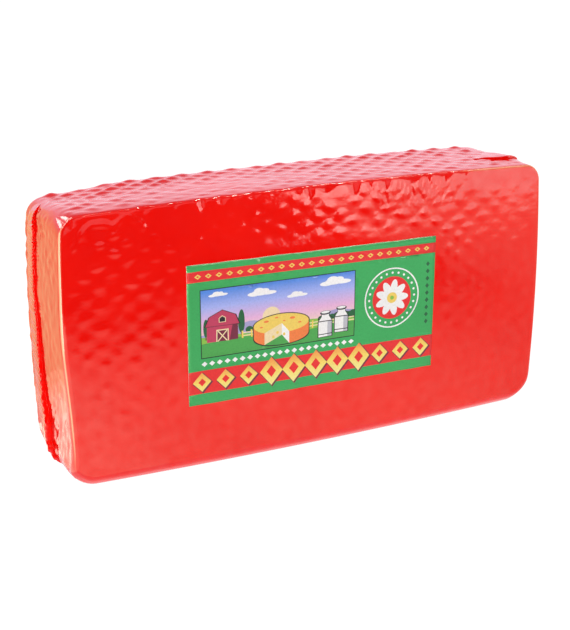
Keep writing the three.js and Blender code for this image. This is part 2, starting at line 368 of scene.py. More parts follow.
def rear_bumps(from_edge, z):
    """The film's small bumps over the upright rear edges, by the distance from the edge."""
    uneven = 0.5 * noise(z / 3.6, from_edge / 6, 61) + 0.35 * noise(z / 9, from_edge / 9, 62)
    return uneven * bell(from_edge, 0, 5) * smooth(HALF_Z - np.abs(z), 2, 12)


def top_domes(x, y):
    """The top's domes, higher towards its rear and its left end."""
    spots = dome_field(x, y, "x", "y", 30) * DOME_HEIGHT["top"]
    spots = spots * (0.65 + 0.35 * smooth(y, -5, 20)) * (1 + 0.35 * smooth(-x, 10, 100))
    return spots * smooth(HALF_X - np.abs(x), 4, 16) * smooth(y + HALF_Y, 1, 9)


def back_relief(x, z):
    edge = np.minimum(HALF_X - np.abs(x), HALF_Z - np.abs(z))
    spots = dome_field(x, z, "x", "z", 20) * DOME_HEIGHT["back"] * smooth(edge, *EDGE_FADE["back"])
    gathered = smooth(edge, 0, 3) * (1 - smooth(HALF_Z - z, 6, 26)) * bell(x, -40, 35)
    wrinkles = 0.25 * ridges((x - 0.4 * z) / 6, z / 14, 21) * gathered
    over_top_edge = top_domes(x, np.full_like(x, HALF_Y)) * (1 - smooth(HALF_Z - z, 0, 5))
    bumps = rear_bumps(HALF_X - np.abs(x), z)
    slow = 0.35 * noise(x / 55, z / 40, 25) * smooth(edge, 0, 25)
    return spots + wrinkles + over_top_edge + bumps + slow


def top_relief(x, y):
    edge = np.minimum(HALF_X - np.abs(x), HALF_Y - np.abs(y))
    slack = 0.75 * bell(x, -50, 60) * bell(y, -8, 20)
    spots = top_domes(x, y) * (1 - slack)
    folds = 0.18 * ridges(x / 16, (y - 0.1 * x) / 4.5, 31) * smooth(edge, 1, 5)
    over_left = seam_dent(HALF_X + x, y) - corner_cut(HALF_X + x, HALF_Y + y)
    return spots + folds - pleats(x, -(y + HALF_Y)) + ear_swelling(HALF_X - x, y) + over_left


def end_relief(y, z, side):
    """Either end's relief, with a groove along its seam's free edge."""
    kind = 40 if side < 0 else 50
    edge = np.minimum(HALF_Y - np.abs(y), HALF_Z - np.abs(z))
    spots = dome_field(y + 3, z, "y", "z", kind) * DOME_HEIGHT["ends"] * smooth(edge, *EDGE_FADE["ends"])
    up, free_edge = np.array(LIP_UP_THE_END).T[:2]
    course = np.interp(z, up, free_edge) - 1.5
    wider = 2.2 + 2.6 * smooth(-z, 25, 65)
    groove = -GROOVE_DEPTH * bell(y, course, wider) * smooth(HALF_Z - np.abs(z), 0, 8)
    pulled = smooth(-z, 10, 55) * smooth(edge, 0, 6) * (1 - smooth(y, 0, 6))
    wrinkles = 0.4 * noise((y + 0.2 * z) / 3.4, z / 11, kind + 5) * (0.25 + pulled)
    wrinkles = wrinkles + 0.45 * ridges((y + 0.3 * z) / 5.5, z / 11, kind + 7) * pulled
    gathered = 0.16 + 0.3 * smooth(z, 50, 66) * smooth(y, -14, 0)
    ripples = gathered * noise(y / 4.5, z / 3.5, kind + 6) * smooth(edge, 0, 6)
    if side > 0:
        over_corner = ear_swelling(z - HALF_Z, y)
    else:
        over_corner = seam_dent(z - HALF_Z, y) - corner_cut(HALF_Z - z, HALF_Y + y)
    bumps = rear_bumps(HALF_Y - y, z)
    return spots + groove + wrinkles * smooth(edge, 0, 6) + ripples + bumps + over_corner


# ---- The film's skin ----

FINE, MEDIUM, COARSE = 0.85, 1.3, 1.9   # how far apart the skin's lines are
FINE_START, FINE_END, FINE_ABOVE = 0, 108, 32   # where they are fine, along X and up Z
EDGE_LINES = [0.0, 0.4, 0.9]    # distances from the box's edges of the closest lines
EDGE_BAND = 1.6
ON_BASE_WITHIN = 0.01


def lines_across(half, *stretches):
    """Lines across one of the box's dimensions, from stretches (start, end, step), closest at its edges."""
    low = [-half + inset for inset in EDGE_LINES]
    inner = [spaced(start, end, step)[:-1] for start, end, step in stretches]
    return np.concatenate([low] + inner + [[stretches[-1][1]], -np.array(low[::-1])])


LINES_X = lines_across(HALF_X, (EDGE_BAND - HALF_X, FINE_START, MEDIUM), (FINE_START, FINE_END, FINE),
                       (FINE_END, HALF_X - EDGE_BAND, MEDIUM))
LINES_Y = lines_across(HALF_Y, (EDGE_BAND - HALF_Y, HALF_Y - EDGE_BAND, MEDIUM))
LINES_Z = lines_across(HALF_Z, (EDGE_BAND - HALF_Z, FINE_ABOVE, COARSE),
                       (FINE_ABOVE, HALF_Z - EDGE_BAND, FINE))

SIDES = [
    # its lines in two directions, where they lie on the box, whether its faces turn over, its relief
    (LINES_X, LINES_Z, lambda x, z: (x, -HALF_Y, z), False, front_relief),
    (LINES_X, LINES_Z, lambda x, z: (x, HALF_Y, z), True, back_relief),
    (LINES_X, LINES_Y, lambda x, y: (x, y, HALF_Z), False, top_relief),
    (LINES_X, LINES_Y, lambda x, y: (x, y, -HALF_Z), True, lambda x, y: np.zeros_like(x)),
    (LINES_Y, LINES_Z, lambda y, z: (-HALF_X, y, z), True, lambda y, z: end_relief(y, z, -1)),
    (LINES_Y, LINES_Z, lambda y, z: (HALF_X, y, z), False, lambda y, z: end_relief(y, z, 1)),
]


def normals_of(points, quads):
    """The outward direction at each point, over the faces round it."""
    first, second, third, fourth = points[quads.T]
    face = np.cross(third - first, fourth - second)
    total = np.zeros_like(points)
    for corner in quads.T:
        np.add.at(total, corner, face)
    return total / np.maximum(np.linalg.norm(total, axis=1, keepdims=True), 1e-12)


def skin_grid():
    """The box's points without repeats, its quads, and each point's relief."""
    corners, quads, reliefs = [], [], []
    start = 0
    for lines_u, lines_v, place, turned, relief in SIDES:
        index = np.arange(len(lines_u) * len(lines_v)).reshape(len(lines_u), -1) + start
        u, v = (lines.ravel() for lines in np.meshgrid(lines_u, lines_v, indexing="ij"))
        ring = [index[:-1, :-1], index[1:, :-1], index[1:, 1:], index[:-1, 1:]]
        if turned:
            ring.reverse()
        quads.append(np.stack([corner.ravel() for corner in ring], axis=1))
        corners.append(np.stack(np.broadcast_arrays(*place(u, v)), axis=1))
        reliefs.append(relief(u, v))
        start += u.size
    corners, quads, reliefs = np.concatenate(corners), np.concatenate(quads), np.concatenate(reliefs)
    keys = np.round(corners * 1000).astype(np.int64)
    _, first, again = np.unique(keys, axis=0, return_index=True, return_inverse=True)
    return corners[first], again.ravel()[quads], reliefs[first]


def film_skin():
    box_points, quads, relief = skin_grid()
    points = form(box_points)
    outward = normals_of(points, quads)
    on_base = points[:, 2] <= BASE_Z + ON_BASE_WITHIN
    relief = np.where(on_base, 0, relief)
    points = points + outward * relief[:, None]
    points[:, 2] = np.maximum(points[:, 2], BASE_Z)
    piece = make_mesh("film_skin", points, quads)
    # The painted edge highlight, partly film drawn thin, kept on the skin's points
    put_attribute(piece, "stretch_and_highlight", stretch_and_highlight(box_points))
    return piece


def stretch_and_highlight(box_points):
    """Where a painted highlight runs along the block's edges, partly the film drawn thin there, from 0 to 1.
    """
    x, y, z = box_points.T
    from_side = HALF_X - np.abs(x)
    from_face = HALF_Y - np.abs(y)
    upright = bell(from_side, 0, 0.6) * bell(from_face, 0, 0.8)
    from_top = HALF_Z - z
    # a painted highlight line along the top's front edge, at the right
    along_top = bell(from_top, 0, 0.7) * bell(from_face, 0, 0.7) * smooth(x, 85, 105)
    return np.clip(upright * smooth(z, -66, -35) + 0.7 * along_top, 0, 1)


# ---- The bag's seams, folded forward up each end, with their ears on top ----

LIP_STEP = 0.34
TOOTH_PITCH, TOOTH_RISE = 2.0, 0.95
WIDER_TEETH = 2.2           # how much wider the teeth are near the base
LIP_SOFTENING = 3.0         # over how much of its length the lip's course is rounded off
# Along each lip, by the distance up the wall from the end's middle: where its free edge and its
# root lie across the block, and how high the free edge stands
LIP_UP_THE_END = [
    (-80, 5, 17, 0), (-76, 2.4, 18, 0.15), (-72, 1.4, 19.5, 0.7), (-68, 1.2, 20.5, 1.5),
    (-64, 1.4, 21.5, 2.4), (-60, 1.8, 23, 3.1), (-56, 2, 24.5, 3.3), (-50, 1.8, 26, 3.2),
    (-44, 2, 27.5, 2.9), (-36, 4.6, 28.5, 2.4), (-27, 6.4, 29, 2.1), (-8, 8.6, 29, 1.7),
    (5, 10, 29, 1.35), (14, 11.8, 29, 1.15), (24, 13.6, 29, 1.05), (36, 13.2, 29, 1.05), (54, 12.8, 29, 1.1),
]
LIP_ONTO_TOP = {
    "left": [(62, 12, 29, 1.5), (66, 12.5, 28, 1.3), (70, 14, 26, 0.9), (73, 16, 24, 0.3), (76, 19, 23, 0)],
    "right": [(61, 8, 29, 1.5), (66, -3, 25, 1.9), (70, -10, 22, 2.4), (73, -13.5, 19, 2.5),
              (77, -14.5, 16, 2.4), (80.5, -13.5, 13, 2), (84, -12, 11, 1.5), (87.5, -10, 8, 1.4),
              (90, -8, 5, 0.9), (93, -7.5, 3, 0.7), (96, -8, 1, 0.8), (99, -6, 0, 0.3), (103, -4, -2, 0)],
}
LIP_SIDES = {"left": (-1, 60), "right": (1, 70)}     # each lip's way along X, and its kind of noise
# The lip's section: shares of the way from its root to its free edge, and of its rise
LIP_SECTION = [
    (0.0, -0.3), (0.1, 0.06), (0.25, 0.26), (0.45, 0.5), (0.65, 0.72), (0.82, 0.88), (0.94, 0.97),
    (0.985, 0.996), (0.995, 1.0), (1.0, 0.95), (0.99, 0.5), (0.98, 0.1), (0.97, -0.35),
]


def wall_at(distance):
    """A place on the wall round the block, by its distance up from an end's middle, and the way out."""
    up = np.sign(distance)
    run = np.abs(distance)
    radius = corner_radius(distance)
    straight = HALF_Z - radius
    quarter = radius * math.pi / 2
    angle = np.clip((run - straight) / radius, 0, math.pi / 2)
    past = np.maximum(run - straight - quarter, 0)
    out_x, out_z = np.cos(angle), up * np.sin(angle)
    x = HALF_X - radius * (1 - out_x) - past
    z = np.where(run <= straight, distance, up * (straight + radius * np.sin(angle)))
    return x, z, out_x, out_z


def flowing(values):
    """Values along a lip with their corners rounded off."""
    reach = max(int(LIP_SOFTENING / LIP_STEP / 2), 1)
    weights = np.hanning(2 * reach + 3)[1:-1]
    padded = np.pad(values, reach, mode="reflect", reflect_type="odd")
    return np.convolve(padded, weights / weights.sum(), mode="valid")


def seam_lip(which):
    """The folded seam up an end, as one closed strip that leaves the skin at its root."""
    side, kind = LIP_SIDES[which]
    stops = np.array(LIP_UP_THE_END + LIP_ONTO_TOP[which], float)
    d = spaced(stops[0, 0], stops[-1, 0], LIP_STEP)
    front, rear, height = (flowing(np.interp(d, stops[:, 0], stops[:, k])) for k in (1, 2, 3))
    on_end = 1 - smooth(d, 60, 72)
    crumpled = smooth(-d, 36, 54)
    ragged = np.maximum(crumpled, smooth(d, 80, 86))
    front = front + 0.5 * noise(d / 9, 0, kind) + 1.1 * noise(d / 4.5, 3, kind) * ragged
    count_up = np.cumsum(LIP_STEP / (TOOTH_PITCH + WIDER_TEETH * smooth(-d, 0, 40)))
    teeth = np.abs(np.sin(math.pi * (count_up + 0.35 * noise(d / 4, 5, kind))))
    toothed = on_end * np.clip(0.85 + noise(d / 6, 7, kind), 0.1, 1.7)
    height = np.maximum(height + 0.3 * noise(d / 8, 9, kind) * (1 + crumpled) * on_end, 0.05)
    x, z, out_x, out_z = wall_at(d)
    rings = []
    for share, part in LIP_SECTION:
        crinkle = 0.3 * noise(d / 2.6, share * 2.2, kind + 4) * on_end
        wave = (0.2 * noise(d / 5, share * 4, kind + 2) + crinkle) * math.sin(math.pi * min(share, 1))
        out = part * height + wave + TOOTH_RISE * (teeth - 0.5) * toothed * max(part, 0) ** 5
        foot = crown(np.stack([side * x, rear + (front - rear) * share, z], axis=1))
        foot[:, 0] += side * out_x * out
        foot[:, 2] += out_z * out
        rings.append(foot)
    count, steps = len(rings), len(d)
    grid = np.stack(rings, axis=1)
    index = np.arange(steps * count).reshape(steps, count)
    beside = np.roll(index, -1, axis=1)
    quads = np.stack([index[:-1], index[1:], beside[1:], beside[:-1]], axis=-1).reshape(-1, 4)
    faces = quads.tolist() + [index[0].tolist(), index[-1][::-1].tolist()]
    if side < 0:
        faces = [face[::-1] for face in faces]
    return make_mesh("seam_lip_" + which, grid.reshape(-1, 3), faces)


# ---- The label's design: a landscape of simple shapes, in the label's own millimetres ----

PANEL = (-67.5, 23.5, -12.5, 24.5)      # its left, right, lower and upper edges
PANEL_FRAME = 0.45
GROUND_T = -1.0                         # the horizon of the landscape
BADGE = (47.5, 6.0)
BANDS = [(29.3, 35.0), (-32.5, -19.5)]  # the two red bands' lower and upper edges


def rectangle(s0, s1, t0, t1):
    """The corners between two edges one way and two edges the other way."""
    return [(s0, t0), (s1, t0), (s1, t1), (s0, t1)]


def arc(s, t, radius_s, radius_t, start, end, steps=16):
    angles = np.radians(np.linspace(start, end, steps))
    return [(s + radius_s * math.cos(a), t + radius_t * math.sin(a)) for a in angles]


def ellipse(s, t, radius_s, radius_t, steps=32):
    return arc(s, t, radius_s, radius_t, 0, 360, steps + 1)[:-1]


def petal(s, t, length, width, degrees):
    """A long ellipse from a place outwards."""
    cos, sin = math.cos(math.radians(degrees)), math.sin(math.radians(degrees))
    flat = ellipse(length / 2, 0, length / 2, width / 2, 16)
    return [(s + a * cos - b * sin, t + a * sin + b * cos) for a, b in flat]


def lozenge(s, t, half_width, half_height):
    return ellipse(s, t, half_width, half_height, 4)


def hills(base, rise, wave, start):
    """The land up to a rolling skyline."""
    s0, s1, t0, _ = PANEL
    across = spaced(s1, s0, -3)
    turn = (across - start) / wave
    skyline = base + rise * (np.sin(turn) + 0.4 * np.sin(2.3 * turn))
    return [(s0, t0), (s1, t0)] + list(zip(across, skyline))


def scaled(outline, s, t, by_s, by_t):
    """An outline made larger or smaller about a place."""
    return [(s + (a - s) * by_s, t + (b - t) * by_t) for a, b in outline]


def cloud(s, t, size):
    puffs = [(0, 0, 4.4, 1.3), (-3.4, -0.5, 3, 0.9), (3.6, -0.4, 3.6, 0.9), (-0.9, 0.9, 2.4, 1.2),
             (1.9, 0.8, 2, 0.9)]
    return [("white", ellipse(s + a * size, t + b * size, c * size, d * size, 20)) for a, b, c, d in puffs]


def poplar(s, t, height):
    return [("maroon_dark", rectangle(s - 0.3, s + 0.3, t - 1, t + 2)),
            ("dark_green", ellipse(s, t + height / 2 + 0.6, height * 0.15, height / 2, 20))]


def bushes():
    places = [(-40, 1.8), (-36.8, 1.4), (3, 1.7), (6.2, 2.3), (9.8, 1.8), (16.5, 2.6), (20.5, 2), (23, 2.4)]
    return [("dark_green", ellipse(s, GROUND_T + size * 0.5, size * 1.25, size, 18)) for s, size in places]


def barn(s, t):
    """A barn with a bent roof, a loft hatch and a braced door."""
    walls, door = rectangle(s - 9, s + 9, t, t + 9), rectangle(s - 3, s + 3, t, t + 6)
    shade = [(s + 4, t), (s + 9, t), (s + 9, t + 9), (s + 6, t + 9)]
    roof = [(s - 10.5, t + 8.5), (s + 10.5, t + 8.5), (s + 8, t + 14), (s, t + 17.5), (s - 8, t + 14)]
    loft = [(s - 2, t + 10.5), (s + 2, t + 10.5), (s + 2, t + 13), (s, t + 14.3), (s - 2, t + 13)]
    return [
        ("maroon", walls), ("maroon_dark", shade),
        ("black", roof), ("maroon", scaled(roof, s, t + 12, 0.93, 0.93)),
        ("cream", rectangle(s - 3.6, s + 3.6, t, t + 6.6)), ("maroon_dark", door),
        ("cream", [(s - 3, t + 0.2), (s - 2.4, t), (s + 3, t + 5.8), (s + 2.4, t + 6)]),
        ("cream", [(s + 2.4, t), (s + 3, t + 0.2), (s - 2.4, t + 6), (s - 3, t + 5.8)]),
        ("cream", loft), ("black", scaled(loft, s, t + 12, 0.8, 0.8)),
    ]


def fence(s0, s1, t):
    rails = [("cream", rectangle(s0, s1, t + up, t + up + 0.6)) for up in (1.0, 2.7)]
    return rails + [("yellow", rectangle(s - 0.45, s + 0.45, t, t + 4.2)) for s in spaced(s0, s1, 5.2)]


def cheese_wheel(s, t, radius, thick):
    """A whole round cheese seen from above its edge, with one wedge cut out of its front."""
    flat = radius * 0.33
    rim = arc(s, t, radius, flat, 180, 360, 24)
    side = rim + [(a, b - thick) for a, b in reversed(rim)]
    wide = [(s + (a - s) * 1.03, b + 0.3 if b > t else b - 0.5) for a, b in side]
    cut_left, cut_right = arc(s, t, radius, flat, 232, 286, 2)
    under_cut = [(a, b - thick) for a, b in arc(s, t, radius, flat, 232, 286, 8)]
    notch = [(s, t), cut_left] + under_cut + [cut_right]
    left_face = [(s, t), cut_left, (cut_left[0], cut_left[1] - thick), (s, t - thick)]
    right_face = [(s, t), (s, t - thick), (cut_right[0], cut_right[1] - thick), cut_right]
    shapes = [("black", wide), ("black", ellipse(s, t, radius + 0.6, flat + 0.5))]
    shapes += [("gold", side), ("yellow", ellipse(s, t, radius, flat))]
    shapes += [("field", notch), ("cream", left_face), ("white", right_face)]
    on_top = [(-9, 2.2, 1.5), (-3, 3.6, 1), (6.5, 2.4, 1.7), (11, -0.6, 1.1), (-12, -0.8, 1), (1.5, 1.2, 0.8)]
    in_cut = [(-2.6, -5), (-5, -7.2), (1.4, -6.4)]
    shapes += [("gold", ellipse(s + a, t + b, size, size * 0.42, 16)) for a, b, size in on_top]
    return shapes + [("yellow", ellipse(s + a, t + b, 0.8, 0.9, 14)) for a, b in in_cut]


def churn(s, t):
    """A milk churn with its lid and a handle at each side."""
    body = [(s - 4, t), (s + 4, t), (s + 4, t + 9), (s + 2.2, t + 11.5), (s + 2.2, t + 13),
            (s - 2.2, t + 13), (s - 2.2, t + 11.5), (s - 4, t + 9)]
    outline = [(a, b - 0.3) for a, b in scaled(body, s, t, 1.13, 1.02)]

    def flat(ink, up, radius_s, radius_t):
        return (ink, ellipse(s, t + up, radius_s, radius_t, 18))

    shapes = [flat("black", 10.4, 4.6, 1.5), flat("field", 10.4, 3.8, 0.9)]
    shapes += [("black", outline), ("white", body), ("grey", rectangle(s + 1.4, s + 4, t, t + 9))]
    shapes += [("black", rectangle(s - 4, s + 4, t + up, t + up + 0.5)) for up in (1.2, 8.6)]
    return shapes + [flat("black", 13.6, 3.3, 1.2), flat("white", 13.9, 2.6, 0.7)]


def landscape():
    """The landscape, the green ground that hides what runs past its panel, and the panel's frame."""
    s0, s1, t0, t1 = PANEL
    shapes = [("sky", rectangle(*PANEL)), ("cream", ellipse(-27, 5.5, 5.2, 5.2))]
    shapes += cloud(-33, 19.5, 1.25) + cloud(-12, 15.5, 0.9) + cloud(11, 20, 1.4) + cloud(-58, 21.5, 0.8)
    shapes += [("lilac", hills(1.6, 2.2, 9, 4)), ("light_green", hills(GROUND_T, 1.4, 14, -20))]
    shapes += poplar(-44.5, -2, 13) + poplar(-65, -2, 10) + bushes()
    shapes += [("field", hills(-4.5, 0.8, 11, 3))] + barn(-55.5, -4.5) + fence(-44, 24, -4.6)
    shapes += cheese_wheel(-21, 0.5, 16.5, 6.6) + churn(5.5, -10.8) + churn(15.5, -9.2)
    below, above = t0 - PANEL_FRAME, t1 + PANEL_FRAME
    around = [("green", -HALF_S, s0, -HALF_T, HALF_T), ("green", s1, HALF_S, -HALF_T, HALF_T),
              ("green", s0, s1, -HALF_T, t0), ("green", s0, s1, t1, HALF_T),
              ("black", s0 - PANEL_FRAME, s0, below, above), ("black", s1, s1 + PANEL_FRAME, below, above),
              ("black", s0, s1, below, t0), ("black", s0, s1, t1, above)]
    return shapes + [(ink, rectangle(*edges)) for ink, *edges in around]


def badge():
    """A round badge with a flower in a ring of dots."""
    s, t = BADGE
    discs = [("white", 17.5), ("green", 16.7), ("red", 12.3)]
    shapes = [(ink, ellipse(s, t, radius, radius, 48)) for ink, radius in discs]
    shapes += [("white", ellipse(*dot, 0.7, 0.7, 10)) for dot in ellipse(s, t, 14.5, 14.5, 24)]
    shapes += [("white", petal(s, t, 10.6, 4.6, degrees)) for degrees in range(0, 360, 40)]
    return shapes + [("yellow", ellipse(s, t, 3.2, 3.2, 20)), ("light_green", ellipse(s, t, 1.2, 1.2, 12))]


def bands():
    """The two red bands, the upper with small lozenges and the lower with large ones."""
    upper, lower = (sum(band) / 2 for band in BANDS)
    shapes = [("red", rectangle(-HALF_S, HALF_S, *band)) for band in BANDS]
    for s in spaced(-69, 69, 6):
        shapes += [("yellow", lozenge(s, upper, 1.9, 1.3)), ("red", lozenge(s, upper, 0.8, 0.55))]
    for s in spaced(-67.5, 67.5, 13.5):
        large = abs(s) < 28
        half_width, half_height = (6.9, 8.2) if large else (5.2, 5.4)
        shapes += [("maroon_dark", lozenge(s + 0.5, lower - 0.5, half_width + 0.6, half_height + 0.6))]
        shapes += [("gold", lozenge(s, lower, half_width, half_height))]
        shapes += [("red", lozenge(s, lower, half_width * 0.42, half_height * 0.42))]
    return shapes


def small_lozenges():
    """A row of white ones under the panel, and a dark column at the right edge."""
    shapes = [("white", lozenge(s, -16, 1.7, 1.4)) for s in spaced(-66, 22, 4.4)]
    return shapes + [("dark_green", lozenge(70.4, t, 1.3, 1.5)) for t in spaced(-11, 23, 4.25)]


def label_design():
    """Every printed shape as its ink and outline, each one over those before it."""
    return landscape() + badge() + bands() + small_lozenges()


# ---- The label's sheet ----

PAPER_STEP = 2.4            # how far apart the paper's own points are
PAPER_GAP = 0.06            # between the film and the label's back
PAPER_DOMES = 0.14          # what still shows of the domes through the paper


def holds(outline, s, t):
    """Whether an outline holds each of the places."""
    inside = np.zeros(len(s), bool)
    for (s0, t0), (s1, t1) in zip(outline, outline[1:] + outline[:1]):
        if t0 != t1:
            inside ^= ((t0 > t) != (t1 > t)) & (s < (s1 - s0) * (t - t0) / (t1 - t0) + s0)
    return inside


def printed_triangles(shapes):
    """The label's flat triangles, cut along every printed outline, and the ink of each."""
    points, edges = [], []
    for _, outline in shapes:
        start = len(points)
        points += outline
        edges += [(start + k, start + (k + 1) % len(outline)) for k in range(len(outline))]
    points = [(min(max(s, -HALF_S), HALF_S), min(max(t, -HALF_T), HALF_T)) for s, t in points]
    across, up = spaced(-HALF_S, HALF_S, PAPER_STEP), spaced(-HALF_T, HALF_T, PAPER_STEP)
    points += [(s, t) for s in across for t in up]
    flat, _, triangles, *_ = delaunay_2d_cdt([Vector(p) for p in points], edges, [], 0, 1e-3)
    flat, triangles = np.array([tuple(p) for p in flat]), np.array(triangles)
    s, t = flat[triangles].mean(axis=1).T
    ink = np.zeros(len(triangles), int)
    for k, (_, outline) in enumerate(shapes):
        ink[holds(outline, s, t)] = k
    return flat, triangles, [shapes[k][0] for k in ink]


def label_sheet():
    """The printed sheet: its front, its back over the bowed film, and the rim between them."""
    flat, triangles, inks = printed_triangles(label_design())
    s, t = flat.T
    wavy = 0.18 * noise(s / 14, t / 14, 90)
    x, z = from_label(s + wavy, t + wavy)
    base = form(np.stack([x, np.full_like(x, -HALF_Y), z], axis=1))
    base[:, 0], base[:, 2] = x, z
    back, front = base.copy(), base.copy()
    back[:, 1] -= PAPER_GAP
    spots = dome_field(x, z, "x", "z", 0)
    front[:, 1] -= PAPER_GAP + LABEL_THICKNESS + PAPER_DOMES * spots
    count = len(flat)
    edges = np.concatenate([triangles[:, [0, 1]], triangles[:, [1, 2]], triangles[:, [2, 0]]])
    seen = {tuple(edge) for edge in edges.tolist()}
    rim = [(a, a + count, b + count, b) for a, b in seen if (b, a) not in seen]
    faces = triangles.tolist() + (triangles[:, ::-1] + count).tolist() + sorted(rim)
    piece = make_mesh("label_sheet", np.concatenate([front, back]), faces)
    names = sorted(INKS)
    for name in names:
        piece.data.materials.append(ink_material(name))
    unprinted = names.index("white")
    slots = [names.index(ink) for ink in inks] + [unprinted] * (len(faces) - len(inks))
    piece.data.polygons.foreach_set("material_index", slots)
    smooth_faces = [True] * (2 * len(triangles)) + [False] * len(rim)
    piece.data.polygons.foreach_set("use_smooth", smooth_faces)
    return piece


# ---- Materials ----

class Nodes:
    """The node tree of a material or a world, with short ways to add and join nodes."""

    def __init__(self, owner):
        owner.use_nodes = True
        self.owner = owner
        self.tree = owner.node_tree

    def add(self, kind, **values):
        node = self.tree.nodes.new("ShaderNode" + kind)
        for key, value in values.items():
            if hasattr(node, key):
                setattr(node, key, value)
            else:
                self.put(value, node.inputs[key.replace("_", " ")])
        return node

    def put(self, value, socket):
        """Gives a socket its value: another node's output, a colour or a number."""
        if isinstance(value, bpy.types.NodeSocket):
            self.tree.links.new(value, socket)
        elif isinstance(value, tuple):
            socket.default_value = (*value, 1)
        else:
            socket.default_value = value

    def place(self, axis=None, kind="Object"):
        """Where a point lies, or how far it lies along one axis."""
        where = self.add("TexCoord").outputs[kind]
        return self.add("SeparateXYZ", Vector=where).outputs[axis] if axis else where

    def noise(self, scale, detail=2):
        """Noise with so many features to the metre."""
        return self.add("TexNoise", Vector=self.place(), Scale=scale, Detail=detail).outputs["Fac"]

    def ramp(self, fac, stops):
        node = self.add("ValToRGB", Fac=fac)
        ramp = node.color_ramp
        while len(ramp.elements) < len(stops):
            ramp.elements.new(0.5)
        for element, (position, colour) in zip(ramp.elements, stops):
            element.position = position
            element.color = (*colour, 1)
        return node.outputs["Color"]

    def mix(self, share, first, second, blend="MIX"):
        node = self.add("Mix", data_type="RGBA", blend_type=blend, Factor=share)
        self.put(first, node.inputs[6])
        self.put(second, node.inputs[7])
        return node.outputs[2]

    def combine(self, operation, first, second):
        node = self.add("Math", operation=operation)
        self.put(first, node.inputs[0])
        self.put(second, node.inputs[1])
        return node.outputs[0]

    def spread(self, value, low, high, start=0, end=1, kind="LINEAR"):
        """A value between start and end, brought to between low and high."""
        node = self.add("MapRange", interpolation_type=kind, Value=value, From_Min=start,
                        From_Max=end, To_Min=low, To_Max=high)
        return node.outputs["Result"]

    def bump(self, height, strength, distance, **before):
        node = self.add("Bump", Strength=strength, Distance=distance, Height=height, **before)
        return node.outputs["Normal"]

    def surface(self, **inputs):
        """The material, once its shader has these inputs."""
        shader = self.tree.nodes["Principled BSDF"]
        for key, value in inputs.items():
            self.put(value, shader.inputs[key.replace("_", " ")])
        return self.owner


def material_nodes(name):
    return Nodes(bpy.data.materials.new(name))


BLACK, WHITE = (0, 0, 0), (1, 1, 1)
FILM_DARKER, FILM_LIGHTER = (0.80, 0.003, 0.001), (0.86, 0.006, 0.002)
# The pale orange painted along the film's edges: a painted highlight, partly film drawn thin there
FILM_STRETCH_HIGHLIGHT = (1.0, 0.62, 0.34)
FILM_ROUGHNESS, FILM_GLOSS = (0.06, 0.12), (0.22, 0.78)
FILM_IOR, PAPER_IOR = 1.5, 1.45


def film_material():
    """Glossy red film, a little uneven in its red, its gloss and its smoothness."""
    n = material_nodes("red_film")
    red = n.ramp(n.noise(28, 3), [(0.3, FILM_DARKER), (0.7, FILM_LIGHTER)])
    # The share of painted edge highlight, partly film drawn thin, mixed into the film's red
    edge_highlight_share = n.add("Attribute", attribute_name="stretch_and_highlight").outputs["Fac"]
    fine = n.bump(n.noise(420), 0.08, 0.0004)
    return n.surface(
        Base_Color=n.mix(edge_highlight_share, red, FILM_STRETCH_HIGHLIGHT),
        Roughness=n.spread(n.noise(140, 3), *FILM_ROUGHNESS),
        Specular_IOR_Level=n.spread(n.noise(150, 3), *FILM_GLOSS),
        IOR=FILM_IOR,
        Normal=n.bump(n.noise(120), 0.16, 0.0008, Normal=fine),
    )


# The printing inks, each one colour or, from below upwards between two heights on the label, several
INKS = {
    "green": (0.03, 0.395, 0.098),
    "dark_green": (0.01, 0.115, 0.04),
    "light_green": (0.24, 0.52, 0.06),
    "field": (0.06, 0.37, 0.07),
    "red": (0.8, 0.008, 0.012),
    "maroon": (0.52, 0.035, 0.105),
    "maroon_dark": (0.17, 0.012, 0.045),
    "black": (0.012, 0.01, 0.018),
    "white": (0.88, 0.89, 0.89),
    "grey": (0.5, 0.51, 0.57),
    "cream": (0.86, 0.7, 0.42),
    "lilac": (0.36, 0.33, 0.6),
    "yellow": (0.86, 0.62, 0.11),
    "gold": (-34, -17, [(0.86, 0.8, 0.3), (0.88, 0.66, 0.12), (0.84, 0.2, 0.04)]),
    "sky": (-2, 24, [(0.84, 0.6, 0.5), (0.74, 0.42, 0.68), (0.36, 0.42, 0.84), (0.07, 0.24, 0.74)]),
}
FADED = 0.92                # what the ink is multiplied by in its darker patches
SPECKLE = (0.9, 0.9, 0.9)   # and in its fine specks
PAPER_ROUGHNESS = (0.34, 0.46)


def ink_material(name):
    n = material_nodes("ink_" + name)
    ink = INKS[name]
    if isinstance(ink[2], list):
        *heights, colours = ink
        low, high = (MIDDLE.z + (LABEL_ABOVE_MIDDLE + t) * MM for t in heights)
        stops = [(k / (len(colours) - 1), colour) for k, colour in enumerate(colours)]
        full = n.ramp(n.spread(n.place("Z"), 0, 1, low, high), stops)
    else:
        full = n.ramp(n.noise(34, 3), [(0.3, tuple(part * FADED for part in ink)), (0.7, ink)])
    speckle = n.ramp(n.noise(900), [(0.3, SPECKLE), (0.6, WHITE)])
    return n.surface(
        Base_Color=n.mix(1, full, speckle, "MULTIPLY"),
        Roughness=n.spread(n.noise(260), *PAPER_ROUGHNESS),
        IOR=PAPER_IOR,
        Normal=n.bump(n.noise(1400), 0.05, 0.0001),
    )


# ---- Stage, light and background ----

def matt_surface(n, colour, glow, strength):
    return n.surface(Base_Color=colour, Roughness=0.9, Specular_IOR_Level=0, Emission_Color=glow,
                     Emission_Strength=strength)


